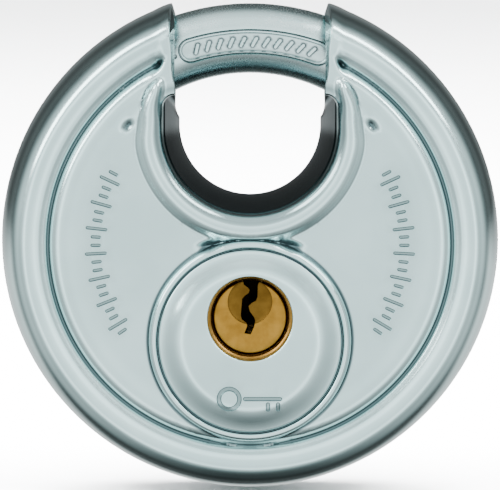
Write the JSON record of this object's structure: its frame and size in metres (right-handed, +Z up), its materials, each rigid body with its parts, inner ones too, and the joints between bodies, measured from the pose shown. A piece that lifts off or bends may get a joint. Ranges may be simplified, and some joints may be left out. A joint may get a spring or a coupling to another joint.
{
  "type": "disc padlock",
  "caption": "Round disc padlock: two pressed steel shells round a turning shackle that a key-operated pin cylinder drives through a gear.",
  "frame": {"origin": "middle of the underside of the closed shackle, where the lock hangs on a staple; the disc's axis is parallel to Y, 23.5 mm below it", "axes": "-Y is the front, with the keyhole, +Z is up, towards the shackle, and +X is to the right as seen from the front"},
  "size_m": [0.07, 0.0246, 0.0683],
  "materials": {
    "shell": "satin polished stainless steel",
    "shackle": "hardened steel, bright plated, with a forged panel",
    "plug": "turned brass, slightly darkened",
    "cylinder": "machined brass, darkened",
    "tumbler": "turned brass",
    "hardened": "turned steel",
    "drive": "hardened steel, dark from heat treatment",
    "chassis": "die-cast, matt",
    "guide": "moulded, black"
  },
  "bodies": {
    "case": {"front_shell": "shell", "rear_shell": "shell", "chassis": "chassis", "cylinder_body": "cylinder", "chamber_cover": "cylinder", "drill_plate": "drive", "plate_screw_left": "hardened", "plate_screw_right": "hardened", "stop_post_closed": "hardened", "stop_post_open": "hardened", "front_guide": "guide", "rear_guide_left": "guide", "rear_guide_right": "guide", "driver_pin_1": "hardened", "driver_pin_2": "hardened", "driver_pin_3": "hardened", "driver_pin_4": "hardened", "driver_pin_5": "hardened", "pin_spring_1": "hardened", "pin_spring_2": "hardened", "pin_spring_3": "hardened", "pin_spring_4": "hardened", "pin_spring_5": "hardened"},
    "shackle": {"shackle": "shackle", "shackle_carrier": "drive", "carrier_rivet_1": "drive", "carrier_rivet_2": "drive"},
    "plug": {"plug": "plug", "drive_pinion": "drive", "plug_clip": "hardened", "key_pin_1": "tumbler", "key_pin_2": "tumbler", "key_pin_3": "tumbler", "key_pin_4": "tumbler", "key_pin_5": "tumbler"}
  },
  "joints": [
    {"name": "shackle_turn", "type": "hinge", "parent": "case", "child": "shackle", "pos_m": [0, 0, -0.0235], "axis": [0, 1, 0], "range_deg": [0, 56]},
    {"name": "plug_turn", "type": "hinge", "parent": "case", "child": "plug", "pos_m": [0, 0, -0.0335], "axis": [0, 1, 0], "range_deg": [0, 146]}
  ],
  "couplings": [
    {"joint": "plug_turn", "follows": "shackle_turn", "ratio": 2.6}
  ]
}
